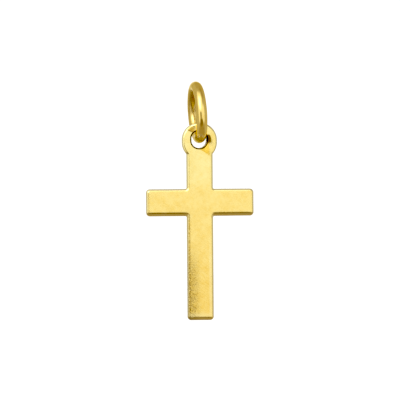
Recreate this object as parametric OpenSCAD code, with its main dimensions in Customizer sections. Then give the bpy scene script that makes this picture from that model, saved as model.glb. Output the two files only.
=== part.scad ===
// Small Latin cross pendant of yellow gold, hanging from a jump ring of round wire.
// Millimetres. The front of the cross faces -Y, Z is up, and the origin is the top of the
// ring's inner side, where a chain or cord carries it.

/* [Jump ring] */
// Outer diameter of the ring
ring_d = 5.2; // [4:0.1:7]
// Diameter of the ring's round wire
wire_d = 0.92; // [0.6:0.02:1.2]
// Lean of the ring's top towards the left arm, in degrees
ring_lean = 3.5; // [0:0.5:8]
// Turn of the ring out of the plane square to the plate, in degrees
ring_turn = 6; // [0:0.5:10]

/* [Plate] */
// Thickness of the plate
plate_t = 1.1; // [0.9:0.05:1.4]
// Rounding of the edges between the faces and the sides
edge_r = 0.27; // [0.15:0.01:0.4]
// What the radius of the outline's corners has over the rounding of the edges
corner_extra = 0.08; // [0.02:0.01:0.3]
// Radius of the fillets where the arms meet the upright
crotch_r = 0.25; // [0.1:0.01:0.5]

/* [Arms and upright] */
// Length of the arms from end to end
arm_span = 9; // [7:0.1:12]
// Height of the arms
arm_h = 2.28; // [1.8:0.02:2.8]
// Width of the upright
upright_w = 2.21; // [1.8:0.01:2.7]
// From the underside of the arms to the foot
leg_len = 8.7; // [6:0.1:12]
// From the top of the arms to the middle of the eye's lower round
neck_len = 3.9; // [3:0.1:5]

/* [Eye] */
// Width of the eye
eye_w = 2.95; // [2.8:0.05:3.5]
// What the height of the eye and of its hole has over their width
eye_stretch = 0.18; // [0.05:0.01:0.4]
// How far the hole lies above the middle of the eye
hole_rise = 0.14; // [0:0.01:0.3]
// What the hole's width has over the wire's diameter
hole_play = 0.32; // [0.2:0.02:0.5]
// Rounding of the hole's edges
hole_edge_r = 0.1; // [0.05:0.01:0.2]
// Clearance between the top edges of the hole and the inner side of the ring that carries them
seat_gap = 0.05; // [0.04:0.01:0.1]

/* [Hidden] */
$fn = 96;
gold = [0.98, 0.87, 0.48];
wire_gold = [0.83, 0.71, 0.33];

wire_r = wire_d / 2;
// From the ring's middle to the middle of its wire, and to its inner side
ring_r = ring_d / 2 - wire_r;
inner_r = ring_r - wire_r;
corner_r = edge_r + corner_extra;
eye_r = eye_w / 2;
hole_r = (wire_d + hole_play) / 2;

// Half the length of the straight part of the hole
bore_half = plate_t / 2 - hole_edge_r;
// The round of the hole's edge lies in the ring, the seat gap away from its inner side.
bore_top = ring_r - hole_edge_r - sqrt(pow(inner_r - hole_edge_r - seat_gap, 2) - pow(bore_half, 2));

// Heights on the cross, above the middle of the wire that carries it
hole_y = bore_top - hole_r;
eye_y = hole_y - hole_rise;
arm_top = eye_y - eye_stretch - neck_len;
arm_y = arm_top - arm_h / 2;
foot_y = arm_top - arm_h - leg_len;

// How far the tools that cut the hole run past the faces
cut_past = 0.2;
// Share of the edge's radius by which the hole's flare is moved out, so that it cuts the face cleanly
flare_out = 0.04;

// Upward direction in the ring's plane
ring_up = [-sin(ring_lean) * cos(ring_turn), -sin(ring_lean) * sin(ring_turn), cos(ring_lean)];
ring_mid = -inner_r * ring_up;
hinge = -(inner_r + ring_r) * ring_up;

// Half section of the plate, from x = 0 to its rounded side
module rim_profile(reach) {
    intersection() {
        translate([0, -plate_t / 2]) square([reach, plate_t]);
        union() {
            translate([0, -plate_t / 2]) square([reach - edge_r, plate_t]);
            translate([0, -plate_t / 2 + edge_r]) square([reach, plate_t - 2 * edge_r]);
            for (side = [-1, 1])
                translate([reach - edge_r, side * (plate_t / 2 - edge_r)]) circle(r = edge_r);
        }
    }
}

// Straight stretch of the plate, rounded on its +X side
module rim_strip(reach, length) {
    rotate([90, 0, 0]) linear_extrude(length, center = true) rim_profile(reach);
}

// Part of a round plate with a rounded rim
module rim_turn(radius, start, sweep) {
    rotate([0, 0, start]) rotate_extrude(angle = sweep) rim_profile(radius);
}

// Straight stretch of the plate, rounded on both sides
module slab(width, length) {
    for (turn = [0, 180])
        rotate([0, 0, turn]) rim_strip(width / 2, length);
}

// Bar with rounded edges and corners, lying flat on the plane z = 0
module bar(width, height) {
    end_x = width / 2 - corner_r;
    end_y = height / 2 - corner_r;
    slab(width, 2 * end_y);
    for (side = [0, 1])
        rotate([0, 0, 180 * side]) {
            translate([0, end_y, 0]) rotate([0, 0, 90]) rim_strip(corner_r, 2 * end_x);
            translate([end_x, end_y, 0]) rim_turn(corner_r, 0, 90);
            translate([-end_x, end_y, 0]) rim_turn(corner_r, 90, 90);
        }
}

// Fillet between an arm and the upright, in the corner at the origin, open towards +X and +Y
module crotch() {
    side = crotch_r + edge_r;
    difference() {
        translate([-edge_r, -edge_r, -plate_t / 2]) cube([side, side, plate_t]);
        translate([crotch_r, crotch_r, 0]) rotate_extrude() crotch_cut(side);
    }
}

// What the fillet's revolved cut takes away, from its axis to the rounded side of the plate
module crotch_cut(reach) {
    difference() {
        translate([0, -plate_t / 2 - cut_past]) square([reach, plate_t + 2 * cut_past]);
        translate([crotch_r, -plate_t / 2 + edge_r]) square([2 * edge_r, plate_t - 2 * edge_r]);
        for (side = [-1, 1])
            translate([reach, side * (plate_t / 2 - edge_r)]) circle(r = edge_r);
    }
}

// Oval plate of the eye
module eye_plate() {
    rim_turn(eye_r, 0, 180);
    translate([0, -eye_stretch / 2, 0]) slab(eye_w, eye_stretch);
    translate([0, -eye_stretch, 0]) rim_turn(eye_r, 180, 180);
}

// Half section of the hole, flared where it meets the faces
module hole_profile() {
    flare = hole_r + hole_edge_r;
    difference() {
        translate([0, -plate_t / 2 - cut_past]) square([flare, plate_t + 2 * cut_past]);
        translate([hole_r, -bore_half]) square([2 * hole_edge_r, 2 * bore_half]);
        for (side = [-1, 1])
            translate([flare, side * (bore_half + flare_out * hole_edge_r)]) circle(r = hole_edge_r);
    }
}

// Oval hole of the eye, as a cutting tool
module eye_hole() {
    rotate_extrude(angle = 180) hole_profile();
    for (turn = [0, 180])
        translate([0, -eye_stretch / 2, 0]) rotate([90, 0, turn])
            linear_extrude(eye_stretch, center = true) hole_profile();
    translate([0, -eye_stretch, 0]) rotate([0, 0, 180]) rotate_extrude(angle = 180) hole_profile();
}

// The cross lying flat, with the middle of the wire that carries it at the origin
module flat_cross() {
    eye_low = eye_y - eye_stretch;
    difference() {
        union() {
            translate([0, arm_y, 0]) rotate([0, 0, 90]) bar(arm_h, arm_span);
            translate([0, (eye_low + foot_y) / 2, 0]) bar(upright_w, eye_low - foot_y);
            for (flip_x = [0, 1], flip_y = [0, 1])
                translate([0, arm_y, 0]) mirror([flip_x, 0, 0]) mirror([0, flip_y, 0])
                    translate([upright_w / 2, arm_h / 2, 0]) crotch();
            translate([0, eye_y, 0]) eye_plate();
        }
        translate([0, hole_y, 0]) eye_hole();
    }
}

// Plate of the cross with its eye, one casting
module cross() {
    color(gold) translate(hinge) rotate([90, 0, 0]) flat_cross();
}

// Ring of round wire, soldered shut, through the eye
module jump_ring() {
    color(wire_gold) translate(ring_mid) rotate([0, 90 - ring_lean, ring_turn])
        rotate_extrude() translate([ring_r, 0]) circle(r = wire_r);
}

cross();
jump_ring();
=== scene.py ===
import math

import bmesh
import bpy
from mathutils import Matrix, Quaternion, Vector


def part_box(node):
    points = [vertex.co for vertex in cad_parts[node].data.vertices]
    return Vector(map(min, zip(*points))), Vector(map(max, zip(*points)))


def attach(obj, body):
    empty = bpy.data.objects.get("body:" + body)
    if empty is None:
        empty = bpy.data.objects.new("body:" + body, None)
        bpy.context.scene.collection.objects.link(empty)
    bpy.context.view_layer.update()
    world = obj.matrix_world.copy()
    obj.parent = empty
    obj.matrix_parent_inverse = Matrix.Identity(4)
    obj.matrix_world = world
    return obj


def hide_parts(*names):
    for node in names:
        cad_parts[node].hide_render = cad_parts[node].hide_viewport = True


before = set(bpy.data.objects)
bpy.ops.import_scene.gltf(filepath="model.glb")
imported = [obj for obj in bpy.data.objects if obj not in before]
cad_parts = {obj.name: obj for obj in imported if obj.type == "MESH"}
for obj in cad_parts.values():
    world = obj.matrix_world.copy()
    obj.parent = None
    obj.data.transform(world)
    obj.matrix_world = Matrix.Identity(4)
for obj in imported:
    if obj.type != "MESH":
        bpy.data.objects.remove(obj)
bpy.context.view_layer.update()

# The cross
# One casting of yellow gold: a flat Latin cross with an oval eye at its head. The edges are filed
# round and buffed, and the front of the eye is dressed beside the hole. Modelled in millimetres.
mm = 0.001
cross_low, cross_high = [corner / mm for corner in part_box("cross")]
cross_x = (cross_low.x + cross_high.x) / 2
plate_y = (cross_low.y + cross_high.y) / 2
plate_t = cross_high.y - cross_low.y
front_y = cross_low.y
foot_z = cross_low.z
arm_span = cross_high.x - cross_low.x
arm_h = 2.28
upright_w = 2.21
half_upright = upright_w / 2
leg_left = cross_x - half_upright
leg_right = cross_x + half_upright
leg_len = 8.7
arm_bottom = foot_z + leg_len
arm_top = arm_bottom + arm_h
edge_r = 0.26
eye_edge_r = 0.22
edge_steps = 9
corner_r = 0.31
crotch_r = 0.12
corner_steps = 8
eye_w = 2.95
eye_stretch = 0.18
eye_z = cross_high.z - eye_w / 2
hole_r = 0.62
hole_edge_r = 0.1
# The hole was drilled a little left of the eye's middle, and above it
hole_x = cross_x - 0.05
hole_z = eye_z + 0.14
round_sides = 96
# Two places closer than this are one
tiny = 0.001


def deselect_all():
    bpy.ops.object.select_all(action="DESELECT")


def select_only(piece):
    deselect_all()
    piece.select_set(True)
    bpy.context.view_layer.objects.active = piece


def pick_all():
    bpy.ops.mesh.select_all(action="SELECT")


def start_editing(piece):
    select_only(piece)
    bpy.ops.object.mode_set(mode="EDIT")
    pick_all()


def stop_editing():
    bpy.ops.object.mode_set(mode="OBJECT")


def pick(kind, passes):
    """Selects only the faces, edges or vertices of the edited mesh that pass a test."""
    bpy.ops.mesh.select_mode(type=kind)
    bpy.ops.mesh.select_all(action="DESELECT")
    data = bpy.context.edit_object.data
    mesh = bmesh.from_edit_mesh(data)
    for item in {"FACE": mesh.faces, "EDGE": mesh.edges, "VERT": mesh.verts}[kind]:
        if passes(item):
            item.select_set(True)
    mesh.select_flush_mode()
    bmesh.update_edit_mesh(data)


def extrude(x, y, z):
    bpy.ops.mesh.extrude_region_move(TRANSFORM_OT_translate={"value": (x, y, z)})


def merge_doubles(gap):
    pick_all()
    bpy.ops.mesh.remove_doubles(threshold=gap)


def turn_outwards():
    pick_all()
    bpy.ops.mesh.normals_make_consistent(inside=False)


def settle(piece, name, scale=1):
    """Names a piece and applies its place and scale, so that they lie in its mesh."""
    piece.name = name
    select_only(piece)
    piece.scale = piece.scale * scale
    bpy.ops.object.transform_apply(location=True, rotation=True, scale=True)


def apply_modifier(piece, kind, **settings):
    modifier = piece.modifiers.new(kind.title(), kind)
    for setting, value in settings.items():
        setattr(modifier, setting, value)
    select_only(piece)
    bpy.ops.object.modifier_apply(modifier=modifier.name)


def combine(piece, tool, operation):
    """Joins the tool to the piece, or cuts it away, and removes the tool."""
    apply_modifier(piece, "BOOLEAN", object=tool, operation=operation, solver="EXACT")
    bpy.data.objects.remove(tool)


def middle(edge):
    return (edge.verts[0].co + edge.verts[1].co) / 2


def in_upright(edge):
    return abs(middle(edge).x - cross_x) < tiny


# Flat outline of arms and upright, drawn from the square where they cross
facing_front = (math.radians(90), 0, 0)
arm_reach = (arm_span - upright_w) / 2
deselect_all()
bpy.ops.mesh.primitive_plane_add(size=1, location=(cross_x, front_y, arm_bottom + arm_h / 2),
                                 rotation=facing_front)
cross = bpy.context.object
cross.scale = (upright_w, arm_h, 1)
settle(cross, "cross_plate")
start_editing(cross)
pick("EDGE", lambda edge: middle(edge).x > leg_right - tiny)
extrude(arm_reach, 0, 0)
pick("EDGE", lambda edge: middle(edge).x < leg_left + tiny)
extrude(-arm_reach, 0, 0)
pick("EDGE", lambda edge: in_upright(edge) and middle(edge).z < arm_bottom + tiny)
extrude(0, 0, -leg_len)
pick("EDGE", lambda edge: in_upright(edge) and middle(edge).z > arm_top - tiny)
extrude(0, 0, eye_z - eye_stretch - arm_top)
bpy.ops.mesh.select_mode(type="FACE")
pick_all()
bpy.ops.mesh.dissolve_faces()


def at_crotch(vertex):
    beside_upright = abs(abs(vertex.co.x - cross_x) - half_upright) < tiny
    level_with_arm = min(abs(vertex.co.z - arm_top), abs(vertex.co.z - arm_bottom)) < tiny
    return beside_upright and level_with_arm


def at_outer_corner(vertex):
    at_arm_end = abs(abs(vertex.co.x - cross_x) - arm_span / 2) < tiny
    at_foot = vertex.co.z < foot_z + tiny
    return at_arm_end or at_foot


def on_rim(edge):
    on_faces = [abs(abs(vertex.co.y - plate_y) - plate_t / 2) < tiny for vertex in edge.verts]
    across = abs(edge.verts[0].co.y - edge.verts[1].co.y) > tiny
    return all(on_faces) and not across


def thicken_and_round(rounding):
    """Gives the flat outline being edited the plate's thickness, and rounds its edges."""
    pick_all()
    extrude(0, plate_t, 0)
    turn_outwards()
    pick("EDGE", on_rim)
    bpy.ops.mesh.bevel(offset=rounding, segments=edge_steps, affect="EDGES", clamp_overlap=False)
    stop_editing()


pick("VERT", at_crotch)
bpy.ops.mesh.bevel(offset=crotch_r, segments=corner_steps, affect="VERTICES")
pick("VERT", at_outer_corner)
bpy.ops.mesh.bevel(offset=corner_r, segments=corner_steps, affect="VERTICES")
thicken_and_round(edge_r)

# Oval plate of the eye
deselect_all()
bpy.ops.mesh.primitive_circle_add(vertices=round_sides, radius=eye_w / 2, fill_type="NGON",
                                  location=(cross_x, front_y, eye_z), rotation=facing_front)
eye = bpy.context.object
settle(eye, "eye_plate")
start_editing(eye)
pick("VERT", lambda vertex: vertex.co.z < eye_z - tiny)
bpy.ops.transform.translate(value=(0, 0, -eye_stretch))
thicken_and_round(eye_edge_r)
combine(cross, eye, "UNION")

# A lattice of cuts, so that the faces have points to be worked on
lattice = 0.22
flat_angle = math.radians(0.5)
cut_snap = 1e-5


def cut_strips(start, end, direction):
    """Cuts the edited mesh into strips as wide as the lattice, square to a direction."""
    cut = start + lattice / 2
    while cut < end:
        pick_all()
        bpy.ops.mesh.bisect(plane_co=[cut * share for share in direction], plane_no=direction,
                            threshold=cut_snap)
        cut += lattice


start_editing(cross)
merge_doubles(tiny)
bpy.ops.mesh.dissolve_limited(angle_limit=flat_angle)
cut_strips(cross_x - arm_span / 2, cross_x + arm_span / 2, (1, 0, 0))
cut_strips(foot_z, cross_high.z, (0, 0, 1))
merge_doubles(tiny)
turn_outwards()
stop_editing()
apply_modifier(cross, "SUBSURF", levels=1, render_levels=1)

# Buffing leaves the faces a little lower towards their edges
buffed_share = 0.97
buffed_reach = 1.0
# A side's normal has less than this of the direction through the plate
side_limit = 0.3


def fading(reach):
    """Settings of a move that takes the points round it along, less and less over the reach."""
    return {"use_proportional_edit": True, "proportional_edit_falloff": "SMOOTH",
            "proportional_size": reach}


start_editing(cross)
pick("VERT", lambda vertex: abs(vertex.normal.y) < side_limit)
bpy.ops.transform.resize(value=(1, buffed_share, 1), center_override=(cross_x, plate_y, arm_bottom),
                         **fading(buffed_reach))

# The leg's left side and the undersides are worn rounder than the rest, most of all under the arms
wear_reach = 0.26
# The normal of a worn edge has more than this of both directions that it lies between
edge_limit = 0.6
worn_edges = (
    # side_x, side_z, lowest, highest, wear
    (-1, 0, foot_z, arm_bottom, 0.01),
    (0, -1, foot_z, arm_top, 0.033),
    (0, -1, arm_bottom - 0.5, arm_top, 0.018),
)
for side_x, side_z, lowest, highest, wear in worn_edges:
    for side_y in (-1, 1):
        pick("VERT", lambda vertex: lowest < vertex.co.z < highest
             and vertex.normal.y * side_y > edge_limit
             and vertex.normal.x * side_x + vertex.normal.z * side_z > edge_limit)
        worn_by = Vector((-side_x, -side_y, -side_z)) * wear
        bpy.ops.transform.translate(value=worn_by, **fading(wear_reach))

# Finer faces where the front is dressed beside the hole, and where the leg is pitted
hole_middle = Vector((hole_x, front_y, hole_z - eye_stretch / 2))
front_depth = 0.3
dressed_reach = 1.3
pitted_w = 1.3
pitted_top = -12.2
extra_cuts = 2


def on_front(place):
    return place.y < front_y + front_depth


def is_worked(face):
    place = face.calc_center_median()
    by_hole = (place - hole_middle).length < dressed_reach
    on_pits = place.z < pitted_top and place.x < leg_left + pitted_w
    return on_front(place) and (by_hole or on_pits)


pick("FACE", is_worked)
bpy.ops.mesh.subdivide(number_cuts=extra_cuts)
stop_editing()

# The dressed hollow runs round the right of the hole and ends in a straight crease below it. A
# second small one lies at the upper left. Here and below, a pair of numbers says where something
# starts and where it is whole.
hollow_middle = hole_middle + Vector((0.24, 0, -0.26))
hollow_r = 1.0
hollow_depth = 0.17
hollow_curve = 1.5
hollow_above = (75, 45)
hollow_below = (-110, -90)
crease_start = hole_middle + Vector((0.06, 0, -0.83))
crease_end = hole_middle + Vector((0.6, 0, -1.16))
crease_slope = math.tan(math.radians(10))
small_start = hole_middle + Vector((-0.93, 0, 0.82))
small_end = hole_middle + Vector((-0.48, 0, 0.63))
small_line_middle = (small_start + small_end) / 2
small_middle = small_line_middle + Vector((0.08, 0, 0.2))
small_reach = (0.42, 0.14)
small_depth = 0.03
small_slope = math.tan(math.radians(4))


def past_line(place, start, end):
    """How far a place on the face lies above the line that runs from start to end."""
    along = (end - start).normalized()
    return (place.z - start.z) * along.x - (place.x - start.x) * along.z


def angle_at_hole(place):
    """Degrees round the hole's middle: 0 is to the right, and 90 is up."""
    return math.degrees(math.atan2(place.z - hole_middle.z, place.x - hole_middle.x))


def soft_step(value, start, whole):
    share = min(max((value - start) / (whole - start), 0), 1)
    return share * share * (3 - 2 * share)


def hollow_at(place):
    """Depth of the dressed hollows at a place on the front face."""
    out = Vector((place.x - hollow_middle.x, place.z - hollow_middle.z)).length / hollow_r
    bowl = hollow_depth * max(1 - out, 0) ** hollow_curve
    wedge = crease_slope * max(past_line(place, crease_start, crease_end), 0)
    turn = angle_at_hole(place)
    large = min(bowl, wedge) * soft_step(turn, *hollow_above) * soft_step(turn, *hollow_below)
    small = min(small_slope * max(past_line(place, small_start, small_end), 0), small_depth)
    small *= soft_step((place - small_middle).length, *small_reach)
    return max(large, small)


def add_weights(piece, name, weight_at):
    """Makes a vertex group in which each front vertex weighs what its place says."""
    group = piece.vertex_groups.new(name=name)
    for vertex in piece.data.vertices:
        weight = weight_at(vertex.co) if on_front(vertex.co) else 0
        if weight > 0:
            group.add([vertex.index], weight, "REPLACE")
    return name


apply_modifier(cross, "DISPLACE", direction="Y", strength=hollow_depth, mid_level=0,
               vertex_group=add_weights(cross, "dressed", lambda place: hollow_at(place) / hollow_depth))

# Pits at the lower left of the leg, and shallow waves from polishing by hand
pit_size = 0.16
pit_depth = 0.014
pitted_sideways = (pitted_w, 0.2)
pitted_upwards = (pitted_top, foot_z + 3)
cross_wave_size = 1.1
cross_wave_depth = 0.01


def pits_at(place):
    return soft_step(place.x - leg_left, *pitted_sideways) * soft_step(place.z, *pitted_upwards)


def new_clouds(name, size, detail):
    clouds = bpy.data.textures.new(name, "CLOUDS")
    clouds.noise_scale = size
    clouds.noise_depth = detail
    return clouds


def polish_by_hand(piece, wave_size, wave_depth):
    """Leaves shallow waves on a piece, all of them inwards."""
    apply_modifier(piece, "DISPLACE", direction="NORMAL", strength=wave_depth, mid_level=1,
                   texture=new_clouds("hand_polish", wave_size, 1), texture_coords="LOCAL")


apply_modifier(cross, "DISPLACE", direction="Y", strength=pit_depth, mid_level=0,
               texture=new_clouds("pits", pit_size, 2), texture_coords="LOCAL",
               vertex_group=add_weights(cross, "pitted", pits_at))
polish_by_hand(cross, cross_wave_size, cross_wave_depth)

# Oval hole with rounded edges: a round bar whose ends flare out
flare_steps = 6
drill_past = 0.3
end_limit = 0.9
close_points = 0.004
least_edge = 0.002
deselect_all()
bpy.ops.mesh.primitive_cylinder_add(vertices=round_sides, radius=hole_r,
                                    depth=plate_t - 2 * hole_edge_r,
                                    location=(hole_x, plate_y, hole_z), rotation=facing_front)
drill = bpy.context.object
settle(drill, "drill")
start_editing(drill)
for side in (-1, 1):
    pick("FACE", lambda face: face.normal.y * side > end_limit)
    reached_r = hole_r
    reached_y = 0
    for step in range(1, flare_steps + 1):
        turn = math.radians(90) * step / flare_steps
        next_r = hole_r + hole_edge_r * (1 - math.cos(turn))
        next_y = hole_edge_r * math.sin(turn)
        extrude(0, side * (next_y - reached_y), 0)
        grow = next_r / reached_r
        bpy.ops.transform.resize(value=(grow, 1, grow), center_override=(hole_x, plate_y, hole_z))
        reached_r = next_r
        reached_y = next_y
    extrude(0, side * drill_past, 0)
pick("VERT", lambda vertex: vertex.co.z < hole_z - tiny)
bpy.ops.transform.translate(value=(0, 0, -eye_stretch))
turn_outwards()
stop_editing()
combine(cross, drill, "DIFFERENCE")
start_editing(cross)
merge_doubles(close_points)
bpy.ops.mesh.dissolve_degenerate(threshold=least_edge)
stop_editing()

# Where the painted reflections of the ring lie: dark brown in a crescent at the right of the hole, along
# the line of the small hollow and in a patch above it, and orange in both hollows
crescent_reach = 1.05
crescent_bend = 0.5
crescent_blur = 0.06
crescent_sideways = (80, 60)
crescent_top = (0.46, 0.36)
crescent_foot = (-0.36, -0.22)
line_across = (0.09, 0.02)
line_end_blur = 0.05
line_share = 0.85
upper_patch_middle = small_end + Vector((-0.05, 0, 0.25))
upper_patch_reach = (0.4, 0.12)
upper_patch_off_line = (0.0, 0.05)
upper_patch_share = 0.55
orange_off_crease = (-0.01, 0.03)
orange_right = (1.0, 0.7)
orange_turn_right = (-5, -25)
orange_turn_left = (-112, -90)
orange_small_middle = small_line_middle + Vector((0.06, 0, 0.16))
orange_small_reach = (0.42, 0.15)
orange_off_line = (-0.01, 0.04)
orange_small_share = 0.6


def reach_from_hole(place):
    """How far a place lies from the middle line of the oval hole."""
    held_z = min(max(place.z, hole_z - eye_stretch), hole_z)
    return math.hypot(place.x - hole_x, place.z - held_z)


def dark_reflection_at(place):
    """Share of the painted dark brown reflection at a place on the front face."""
    rise = place.z - hole_middle.z
    reach = crescent_reach - crescent_bend * rise ** 2
    crescent = soft_step(reach_from_hole(place), reach, reach - crescent_blur)
    crescent *= soft_step(abs(angle_at_hole(place)), *crescent_sideways)
    crescent *= soft_step(rise, *crescent_top) * soft_step(rise, *crescent_foot)
    off_line = abs(past_line(place, small_start, small_end))
    line = soft_step(off_line, *line_across)
    line *= soft_step(place.x, small_start.x - line_end_blur, small_start.x + line_end_blur)
    line *= soft_step(place.x, small_end.x + line_end_blur, small_end.x - line_end_blur)
    upper_patch = soft_step((place - upper_patch_middle).length, *upper_patch_reach)
    upper_patch *= soft_step(off_line, *upper_patch_off_line)
    return max(crescent, line_share * line, upper_patch_share * upper_patch)


def orange_reflection_at(place):
    """Share of the painted orange reflection at a place on the front face."""
    turn = angle_at_hole(place)
    large = soft_step(past_line(place, crease_start, crease_end), *orange_off_crease)
    large *= soft_step(place.x - cross_x, *orange_right)
    large *= soft_step(turn, *orange_turn_right) * soft_step(turn, *orange_turn_left)
    small = soft_step(past_line(place, small_start, small_end), *orange_off_line)
    small *= soft_step((place - orange_small_middle).length, *orange_small_reach)
    return max(large, orange_small_share * small)


def paint(piece, name, share_at):
    """Stores on each front vertex of a piece what its place says."""
    layer = piece.data.attributes.new(name, "FLOAT", "POINT")
    layer.data.foreach_set("value", [share_at(vertex.co) if on_front(vertex.co) else 0.0
                                     for vertex in piece.data.vertices])


paint(cross, "dark_reflection", dark_reflection_at)
paint(cross, "orange_reflection", orange_reflection_at)
settle(cross, "cross_plate", mm)
crease_angle = math.radians(35)
select_only(cross)
bpy.ops.object.shade_smooth_by_angle(angle=crease_angle)


def add_node(kind, inputs=None, **settings):
    """Adds a node to the tree at hand, sets its properties and fills its sockets."""
    node = tree.nodes.new(kind)
    for setting, value in settings.items():
        setattr(node, setting, value)
    for socket, value in (inputs or {}).items():
        if isinstance(value, bpy.types.NodeSocket):
            tree.links.new(value, node.inputs[socket])
        else:
            node.inputs[socket].default_value = value
    return node


def add_math(operation, first, second=0.0, third=0.0):
    return add_node("ShaderNodeMath", {0: first, 1: second, 2: third}, operation=operation).outputs[0]


def add_product(first, *others):
    product = first
    for other in others:
        product = add_math("MULTIPLY", product, other)
    return product


def add_rest(share):
    """What a share leaves of 1."""
    return add_math("SUBTRACT", 1.0, share)


def add_distance(place, point):
    return add_node("ShaderNodeVectorMath", {0: place, 1: point}, operation="DISTANCE").outputs["Value"]


def add_axes(vector):
    return list(add_node("ShaderNodeSeparateXYZ", {0: vector}).outputs)


def add_noise(place, scale, detail):
    return add_node("ShaderNodeTexNoise", {"Vector": place, "Scale": scale, "Detail": detail}).outputs[0]


def add_range(value, start, whole, new_start=0.0, new_whole=1.0):
    """Carries a value from one range to another, softly at both ends."""
    return add_node("ShaderNodeMapRange",
                    {"Value": value, "From Min": start, "From Max": whole, "To Min": new_start,
                     "To Max": new_whole}, interpolation_type="SMOOTHSTEP").outputs[0]


def add_blend(share, first, second):
    """Mixes two numbers."""
    return add_node("ShaderNodeMix", {0: share, 2: first, 3: second}).outputs[0]


def add_mix(share, first, second, blend_type="MIX"):
    """Mixes two colours."""
    return add_node("ShaderNodeMix", {0: share, 6: first, 7: second}, data_type="RGBA",
                    blend_type=blend_type).outputs[2]


def add_tint(colour, share, tint):
    """Multiplies a colour by a tint, as far as the share says."""
    return add_mix(share, colour, tint, "MULTIPLY")


def new_metal(name):
    """Starts a metal, and returns it with its node tree and its shader."""
    metal = bpy.data.materials.new(name)
    metal.use_nodes = True
    principled = metal.node_tree.nodes["Principled BSDF"]
    principled.inputs["Metallic"].default_value = 1
    return metal, metal.node_tree, principled


def add_place():
    """Places on the piece, in millimetres."""
    metres = add_node("ShaderNodeTexCoord").outputs["Object"]
    return add_node("ShaderNodeMapping", {"Vector": metres, "Scale": (1 / mm, 1 / mm, 1 / mm)}).outputs[0]


def finish_metal(colour, gloss, relief, relief_depth):
    """Joins a metal's colour, roughness and fine relief to its shader."""
    bump = add_node("ShaderNodeBump", {"Strength": 1.0, "Distance": relief_depth, "Height": relief})
    tree.links.new(colour, shader.inputs["Base Color"])
    tree.links.new(gloss, shader.inputs["Roughness"])
    tree.links.new(bump.outputs[0], shader.inputs["Normal"])


def coat(piece, metal):
    piece.data.materials.clear()
    piece.data.materials.append(metal)


cross_gold, tree, shader = new_metal("cross_gold")
place = add_place()
x_place, y_place, z_place = add_axes(place)

# Paler gold at the top and deeper towards the foot, a painted gradient of light and shade, clouded by
# hand polishing and worn below
top_light_gold = (0.985, 0.85, 0.40, 1)
mid_gold = (0.97, 0.78, 0.318, 1)
foot_shade_gold = (0.935, 0.71, 0.255, 1)
cloud_tint = (0.985, 0.955, 0.88, 1)
cloud_levels = (0.35, 0.72)
mottle_tint = (0.985, 0.955, 0.87, 1)
mottle_levels = (0.42, 0.72)
grain_tint = (0.965, 0.935, 0.85, 1)
grain_levels = (0.45, 0.72)
top_light_height = (arm_top - 0.6, arm_top + 1.6)
foot_shade_height = (arm_bottom, foot_z)
worn_height = (arm_top + 1, foot_z + 2)
least_worn = 0.3
colour = add_mix(add_range(z_place, *top_light_height), mid_gold, top_light_gold)
colour = add_mix(add_range(z_place, *foot_shade_height), colour, foot_shade_gold)
clouds = add_noise(place, scale=1.3, detail=3.0)
colour = add_tint(colour, add_range(clouds, *cloud_levels), cloud_tint)
mottles = add_noise(place, scale=3.2, detail=2.0)
colour = add_tint(colour, add_range(mottles, *mottle_levels), mottle_tint)
worn = add_range(z_place, *worn_height, least_worn, 1.0)
grain = add_noise(place, scale=10.0, detail=2.0)
colour = add_tint(colour, add_product(add_range(grain, *grain_levels), worn), grain_tint)

# Fine marks of the polishing wheel, down to the right
wheel_angle = math.radians(-38)
mark_stretch = (0.8, 0.8, 8)
mark_tint = (0.965, 0.94, 0.86, 1)
mark_levels = (0.5, 0.7)
turned = add_node("ShaderNodeVectorRotate", {"Vector": place, "Angle": wheel_angle},
                  rotation_type="Y_AXIS")
wheel = add_node("ShaderNodeMapping", {"Vector": turned.outputs[0], "Scale": mark_stretch})
marks = add_noise(wheel.outputs[0], scale=1.5, detail=3.0)
colour = add_tint(colour, add_product(add_range(marks, *mark_levels), worn), mark_tint)

# Dark dirt in the pits of the leg
pit_tint = (0.75, 0.735, 0.7, 1)
pit_dirt = (0.38, 0.28, 0.13, 1)
pit_dirt_share = 0.65
dirty_sideways = (pitted_w, 0.1)
speck_levels = (0.47, 0.64)
dark_pit_height = (foot_z + 6.5, foot_z + 2.5)
least_dark_pit = 0.45
round_of_edge = (plate_y, front_y + 0.15)
from_left = add_math("SUBTRACT", x_place, leg_left)
at_front = add_range(y_place, *round_of_edge)
pit_zone = add_product(add_range(from_left, *dirty_sideways), add_range(z_place, *pitted_upwards),
                       at_front)
specks = add_range(add_noise(place, scale=11.0, detail=3.0), *speck_levels)
pits = add_product(specks, pit_zone, add_range(z_place, *dark_pit_height, least_dark_pit, 1.0))
colour = add_tint(colour, pit_zone, pit_tint)
colour = add_mix(add_product(pits, pit_dirt_share), colour, pit_dirt)

# A dotted line of dirt where the leg's left side begins to round, reaching out onto the rounding as
# painted shade
line_tint = (0.64, 0.59, 0.51, 1)
line_outer = (0.08, 0.16)
line_inner = (0.29, 0.2)
outer_share = 0.2
line_top = (arm_bottom + 0.1, arm_bottom - 0.2)
dot_levels = (0.35, 0.6)
between_dots = 0.35
dots = add_range(add_noise(place, scale=7.0, detail=2.0), *dot_levels, between_dots, 1.0)
dotted_dirt_and_shade = add_product(add_range(from_left, *line_outer, outer_share, 1.0),
                        add_range(from_left, *line_inner), add_range(z_place, *line_top), at_front, dots)
colour = add_tint(colour, dotted_dirt_and_shade, line_tint)

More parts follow.
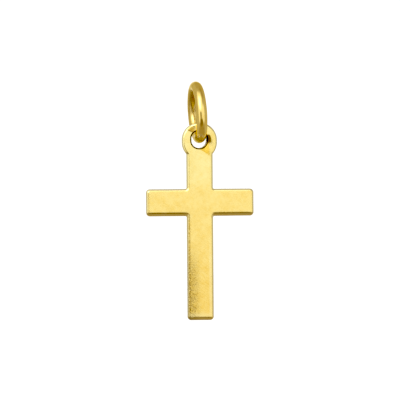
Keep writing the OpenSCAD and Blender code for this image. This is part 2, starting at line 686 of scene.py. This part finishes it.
# A thin line of painted shade where the undersides of the arms begin to round
under_shade_tint = (0.68, 0.68, 0.7, 1)
under_lower = (0.17, 0.22)
under_upper = (0.31, 0.26)
under_inner = (half_upright, half_upright + 0.15)
from_below = add_math("SUBTRACT", z_place, arm_bottom)
off_upright = add_math("ABSOLUTE", add_math("SUBTRACT", x_place, cross_x))
under_edge_shade = add_product(add_range(from_below, *under_lower), add_range(from_below, *under_upper),
                         add_range(off_upright, *under_inner), at_front)
colour = add_tint(colour, under_edge_shade, under_shade_tint)

# The colours of the painted reflections of the ring
orange_reflection_colour = (0.84, 0.56, 0.1, 1)
orange_strength = 0.85
dark_reflection_colour = (0.29, 0.17, 0.045, 1)
brown_strength = 0.9
orange_reflection = add_node("ShaderNodeAttribute", attribute_name="orange_reflection").outputs["Fac"]
colour = add_mix(add_product(orange_reflection, orange_strength), colour, orange_reflection_colour)
dark_reflection = add_node("ShaderNodeAttribute", attribute_name="dark_reflection").outputs["Fac"]
colour = add_mix(add_product(dark_reflection, brown_strength), colour, dark_reflection_colour)

# Painted shadow and dirt round the rim of the hole, least at its left, and a dark spot in the corner
# between eye and neck
dark_shade_and_dirt = (0.1, 0.062, 0.035, 1)
dark_strength = 0.92
rim_reach = (hole_r + 0.14, hole_r + 0.09)
rim_reach_right = 0.03
rim_depth = (0.3, 0.42)
rim_share_left = 0.72
right_half = (0.0, 0.5)
upper_left_part = (0.6, 0.85)
notch_middle = (cross_x - 1.07, front_y, -5.13)
notch_reach = (0.16, 0.05)
notch_share = 0.8
from_middle = add_math("ABSOLUTE", add_math("SUBTRACT", y_place, plate_y))
off_x = add_math("SUBTRACT", x_place, hole_x)
held_z = add_math("MINIMUM", add_math("MAXIMUM", z_place, hole_z - eye_stretch), hole_z)
off_z = add_math("SUBTRACT", z_place, held_z)
from_hole = add_math("SQRT", add_math("MULTIPLY_ADD", off_x, off_x, add_product(off_z, off_z)))
right_of_hole = add_range(off_x, *right_half)
upper_left = add_range(add_math("SUBTRACT", off_z, off_x), *upper_left_part)
rim_share = add_math("MULTIPLY_ADD", right_of_hole, 1 - rim_share_left, rim_share_left)
rim_share = add_math("MAXIMUM", rim_share, upper_left)
from_rim = add_math("MULTIPLY_ADD", right_of_hole, -rim_reach_right, from_hole)
rim_shade_and_dirt = add_product(add_range(from_rim, *rim_reach), add_range(from_middle, *rim_depth), rim_share)
notch_dark = add_range(add_distance(place, notch_middle), *notch_reach, 0.0, notch_share)
dirt_and_shade = add_product(add_math("MAXIMUM", rim_shade_and_dirt, notch_dark), dark_strength)
colour = add_mix(dirt_and_shade, colour, dark_shade_and_dirt)

# The wall of the hole is rubbed by the wire and painted pale with painted light
rubbed_lit_gold = (0.95, 0.87, 0.6, 1)
hole_wall_light_strength = 0.6
hole_wall = (hole_r + 0.06, hole_r + 0.02)
in_hole = add_range(from_hole, *hole_wall)
colour = add_mix(add_product(in_hole, hole_wall_light_strength), colour, rubbed_lit_gold)

# A small nick beside the right edge of the leg
nick_dirt = (0.42, 0.3, 0.14, 1)
nick_strength = 0.5
nick_middle = (1.17, front_y, -15.39)
nick_reach = (0.09, 0.03)
nick = add_range(add_distance(place, nick_middle), *nick_reach)
colour = add_mix(add_product(nick, nick_strength), colour, nick_dirt)

# The right of the eye is a little duller
dull_tint = (0.975, 0.935, 0.84, 1)
dull_right = (cross_x + 0.5, cross_x + 1.1)
dull_height = (arm_top + 2.0, arm_top + 3.4)
dull = add_product(add_range(x_place, *dull_right), add_range(z_place, *dull_height))
colour = add_tint(colour, dull, dull_tint)

# Painted highlights make the edges brighter and paler than the faces, the upper ones most and the lower
# ones least, and lie along the right side and the foot of the leg too
edge_highlight_gold = (0.99, 0.93, 0.56, 1)
face_limit = (plate_t / 2 - 0.09, plate_t / 2 - 0.02)
over_dotted_line = 0.2
normal_rise = (-0.7, 0.5)
lower_edge_share = 0.16
upper_edge_share = 0.75
highlight_right = (leg_right - 0.45, leg_right - 0.3)
highlight_right_height = (arm_bottom - 1, arm_bottom - 4)
highlight_foot = (foot_z + 0.8, foot_z + 0.4)
side_highlight_strength = 0.3
on_face = add_range(from_middle, *face_limit)
upward_normal = add_axes(add_node("ShaderNodeTexCoord").outputs["Normal"])[2]
edge_highlight = add_product(add_rest(on_face), add_rest(dirt_and_shade), add_rest(orange_reflection), add_rest(dark_reflection),
                      add_range(dotted_dirt_and_shade, 0.0, 1.0, 1.0, over_dotted_line),
                      add_range(upward_normal, *normal_rise, lower_edge_share, upper_edge_share))
right_highlight = add_product(add_range(x_place, *highlight_right), add_range(z_place, *highlight_right_height))
side_highlight = add_math("MAXIMUM", right_highlight, add_range(z_place, *highlight_foot))
highlight_share = add_math("MAXIMUM", edge_highlight, add_product(side_highlight, side_highlight_strength))
colour = add_mix(highlight_share, colour, edge_highlight_gold)

# The edges shine most, and what is pitted, painted with the ring's reflection or rubbed shines least
edge_roughness = 0.12
face_roughness = 0.16
cloud_roughness = 0.12
grain_height = 0.5
mark_height = 0.6
pit_height = 2.0
cross_relief_depth = 0.004 * mm
face_gloss = add_math("MULTIPLY_ADD", clouds, cloud_roughness, face_roughness)
gloss = add_blend(on_face, edge_roughness, face_gloss)
for share, roughness in ((pits, 0.15), (orange_reflection, 0.15), (dark_reflection, 0.2), (in_hole, 0.3)):
    gloss = add_math("MULTIPLY_ADD", share, roughness, gloss)
relief = add_math("MULTIPLY_ADD", grain, grain_height, add_product(marks, mark_height))
relief = add_math("SUBTRACT", relief, add_product(pits, pit_height))
finish_metal(colour, gloss, relief, cross_relief_depth)
coat(cross, cross_gold)
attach(cross, "pendant")
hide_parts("cross")

# The jump ring
# Round gold wire bent to a circle, soldered shut and polished bright. It passes through the eye, and
# its top carries the pendant.
ring_low, ring_high = [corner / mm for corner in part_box("jump_ring")]
ring_mid = (ring_low + ring_high) / 2
ring_d = 5.2
wire_d = 0.92
ring_r = ring_d / 2 - wire_d / 2
ring_lean = math.radians(3.5)
ring_turn = math.radians(6.6)
wire_sides = 48
ring_steps = 192
wire_wave_size = 0.8
wire_wave_depth = 0.012
deselect_all()
bpy.ops.mesh.primitive_circle_add(vertices=wire_sides, radius=wire_d / 2, location=(ring_r, 0, 0),
                                  rotation=facing_front)
ring = bpy.context.object
settle(ring, "ring_wire")
start_editing(ring)
bpy.ops.mesh.spin(steps=ring_steps, angle=math.radians(360), center=(0, 0, 0), axis=(0, 0, 1))
merge_doubles(tiny)
turn_outwards()
stop_editing()
ring.rotation_euler = (0, math.radians(90) - ring_lean, ring_turn)
ring.location = ring_mid
settle(ring, "ring_wire")
polish_by_hand(ring, wire_wave_size, wire_wave_depth)
settle(ring, "ring_wire", mm)
select_only(ring)
bpy.ops.object.shade_smooth()

# Bright gold with soft clouds, scuffed dirt and painted shade on the inner side of the upper half, and a
# rubbed spot at the bottom, where the eye hangs, painted pale as light reflected from below
bright_gold = (0.96, 0.755, 0.30, 1)
cloudy_gold = (0.93, 0.70, 0.25, 1)
glancing_gold = (0.97, 0.88, 0.6, 1)
wire_cloud_levels = (0.3, 0.7)
wire_dirt_and_shade = (0.45, 0.32, 0.14, 1)
wire_rubbed_lit_gold = (0.98, 0.9, 0.66, 1)
wire_pale_strength = 0.7
inner_side = (ring_r - 0.02, ring_r - 0.28)
dark_inside_height = (ring_mid.z - 0.9, ring_mid.z + 0.1)
rubbed_lit_height = (ring_mid.z - 1.75, ring_mid.z - 2.15)
least_wire_dark = 0.6
scuff_dirt = 0.3
scuff_levels = (0.5, 0.66)
wire_roughness = 0.05
wire_cloud_roughness = 0.06
wire_relief_depth = 0.0015 * mm
ring_gold, tree, shader = new_metal("ring_gold")
shader.inputs["Specular Tint"].default_value = glancing_gold
place = add_place()
z_place = add_axes(place)[2]
clouds = add_noise(place, scale=1.6, detail=3.0)
colour = add_mix(add_range(clouds, *wire_cloud_levels), bright_gold, cloudy_gold)
scuffs = add_range(add_noise(place, scale=5.0, detail=4.0), *scuff_levels)
inside = add_range(add_distance(place, ring_mid), *inner_side)
# The inner side's darkness is scuffed dirt with painted shade
dirt_and_shade = add_product(inside, add_range(z_place, *dark_inside_height),
                   add_math("MULTIPLY_ADD", scuffs, scuff_dirt, least_wire_dark))
colour = add_mix(dirt_and_shade, colour, wire_dirt_and_shade)
# The rubbed spot at the bottom is painted pale with a painted reflection of light from below
rubbed_and_lit = add_range(z_place, *rubbed_lit_height)
colour = add_mix(add_product(rubbed_and_lit, wire_pale_strength), colour, wire_rubbed_lit_gold)
gloss = add_math("MULTIPLY_ADD", clouds, wire_cloud_roughness, wire_roughness)
for share, roughness in ((dirt_and_shade, 0.35), (rubbed_and_lit, 0.15)):
    gloss = add_math("MULTIPLY_ADD", share, roughness, gloss)
finish_metal(colour, gloss, add_noise(place, scale=7.0, detail=3.0), wire_relief_depth)
coat(ring, ring_gold)
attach(ring, "ring")
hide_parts("jump_ring")

# The floor
# A plain white table under the hanging pendant. It doesn't show in the gold, and from below the
# camera looks through it.
table_size = 3
table_z = -40 * mm
white = (1, 1, 1, 1)
white_strength = 1.1
deselect_all()
bpy.ops.mesh.primitive_plane_add(size=table_size, location=(0, 0, table_z))
floor = bpy.context.object
floor.name = "floor"
floor.visible_glossy = False
floor.visible_diffuse = False
white_table = bpy.data.materials.new("white_table")
white_table.use_nodes = True
tree = white_table.node_tree
tree.nodes.clear()
glow = add_node("ShaderNodeEmission", {"Color": white, "Strength": white_strength})
clear = add_node("ShaderNodeBsdfTransparent")
underside = add_node("ShaderNodeNewGeometry").outputs["Backfacing"]
table = add_node("ShaderNodeMixShader", {0: underside, 1: glow.outputs[0], 2: clear.outputs[0]})
add_node("ShaderNodeOutputMaterial", {"Surface": table.outputs[0]})
floor.data.materials.append(white_table)

# The studio light
# A room lit by soft windows, the biggest at the upper left, which is seen only in the gold's
# reflections. To the camera the room is plain white.
scene = bpy.context.scene
world = bpy.data.worlds.new("studio")
scene.world = world
world.use_nodes = True
tree = world.node_tree
tree.nodes.clear()
looking = add_node("ShaderNodeTexCoord").outputs["Generated"]
straight_up = Vector((0, 0, 1))
least_ahead = 0.01


def heading(azimuth, elevation):
    """Unit vector towards a place in the room: azimuth 0 is the camera's side, 90 the right."""
    turn = math.radians(azimuth)
    lift = math.radians(elevation)
    return Vector((math.sin(turn) * math.cos(lift), -math.cos(turn) * math.cos(lift), math.sin(lift)))


def add_dot(first, second):
    return add_node("ShaderNodeVectorMath", {0: first, 1: second},
                    operation="DOT_PRODUCT").outputs["Value"]


def add_window(azimuth, elevation, half_width, half_height, blur):
    """A rectangle with soft edges, 1 inside and 0 outside, that faces the pendant."""
    towards = heading(azimuth, elevation)
    across = towards.cross(straight_up).normalized()
    upwards = across.cross(towards)
    ahead = add_dot(looking, towards)
    window = add_math("GREATER_THAN", ahead, least_ahead)
    for direction, half in ((across, half_width), (upwards, half_height)):
        off = add_math("ABSOLUTE", add_math("DIVIDE", add_dot(looking, direction), ahead))
        window = add_product(window, add_range(off, half + blur, half - blur))
    return window


room_light = 0.6
windows = (
    # azimuth, elevation, half width, half height, blur, what it adds to the room's light
    (-29, 18, 1.12, 1.4, 0.35, 0.465),
    (-32, 31, 0.36, 0.37, 0.2, 1.5),
    (3, 66, 0.3, 0.3, 0.15, 0.2),
    (38, -2, 0.35, 0.6, 0.25, 0.46),
    (150, 60, 0.9, 0.6, 0.3, -0.08),
    (70, 62, 0.4, 0.4, 0.25, -0.08),
    (180, 4, 0.28, 0.35, 0.2, 0.4),
)
light = room_light
for *outline, added_light in windows:
    light = add_math("MULTIPLY_ADD", add_window(*outline), added_light, light)

# The room's floor, and a post with its stand and foot before it, show darker
floor_light = 0.44
floor_depth = (-0.48, -0.86)
dark_places = (
    # azimuth, elevation, half width, half height, blur, light
    (-21, -13, 0.22, 0.22, 0.08, 0.25),
    (-20, -27, 0.22, 0.2, 0.08, 0.42),
    (-14, -38, 0.5, 0.24, 0.15, 0.3),
)
light = add_blend(add_range(add_dot(looking, straight_up), *floor_depth), light, floor_light)
for *outline, dark_light in dark_places:
    light = add_blend(add_window(*outline), light, dark_light)

# Dark places are a little warmer than bright ones
warm_white = (1, 0.81, 0.73, 1)
warm_to_white = (0.2, 0.8)
warmth = add_mix(add_range(light, *warm_to_white), warm_white, white)
room = add_node("ShaderNodeBackground", {"Color": warmth, "Strength": light})
backdrop = add_node("ShaderNodeBackground", {"Color": white, "Strength": white_strength})
seen = add_node("ShaderNodeLightPath").outputs["Is Camera Ray"]
both = add_node("ShaderNodeMixShader", {0: seen, 1: room.outputs[0], 2: backdrop.outputs[0]})
add_node("ShaderNodeOutputWorld", {"Surface": both.outputs[0]})

# The camera
# Level with the pendant and a little to its left, far away with a long lens, and turned by half a
# degree, as the photograph is.
frame_width = 33.44 * mm
camera_distance = 0.45
camera_roll = math.radians(-0.45)
camera_side = heading(-3, 1.2)
looked_at = Vector((0.26, 0, -9.01)) * mm
camera_data = bpy.data.cameras.new("camera")
camera_data.sensor_width = 36
camera_data.lens = camera_data.sensor_width * camera_distance / frame_width
camera_data.clip_start = 0.01
camera_data.clip_end = 10
camera = bpy.data.objects.new("camera", camera_data)
scene.collection.objects.link(camera)
camera.location = looked_at + camera_side * camera_distance
camera.rotation_mode = "QUATERNION"
rolled = Quaternion((0, 0, 1), camera_roll)
camera.rotation_quaternion = (-camera_side).to_track_quat("-Z", "Y") @ rolled
scene.camera = camera

# Deeper darks, as in the photograph
black_level = 0.08
scene.view_settings.view_transform = "Standard"
scene.view_settings.use_curve_mapping = True
scene.view_settings.curve_mapping.black_level = (black_level, black_level, black_level)
scene.view_settings.curve_mapping.update()
